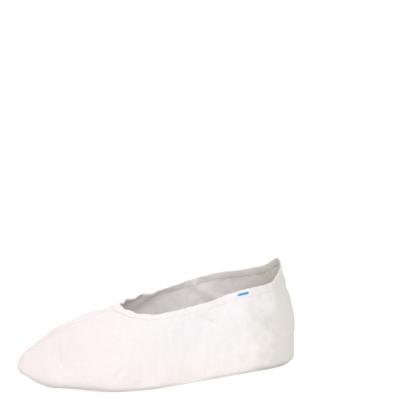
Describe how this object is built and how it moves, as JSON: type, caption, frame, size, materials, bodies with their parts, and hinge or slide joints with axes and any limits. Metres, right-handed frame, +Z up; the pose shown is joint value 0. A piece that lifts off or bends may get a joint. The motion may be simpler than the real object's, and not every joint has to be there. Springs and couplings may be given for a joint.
{
  "type": "shoe cover",
  "caption": "Thin white disposable cover for a right shoe, with an elastic hem round the opening, resting on its sole.",
  "frame": {"origin": "middle of the underside of the bounding box, on the floor", "axes": "-X towards the toe, -Y towards the inner (medial) side, +Z up"},
  "size_m": [0.3118, 0.1076, 0.1141],
  "materials": {
    "upper_cloth": "soft satin, thin laminated nonwoven",
    "sole_cloth": "matt, thin laminated nonwoven",
    "seam_cloth": "soft satin, folded and sewn",
    "hem_cloth": "soft satin, gathered over elastic"
  },
  "bodies": {
    "root": {"side_panel_inner": "upper_cloth", "side_panel_outer": "upper_cloth", "sole_sheet": "sole_cloth", "toe_seam": "seam_cloth", "heel_seam": "seam_cloth", "elastic_hem": "hem_cloth"}
  },
  "joints": []
}
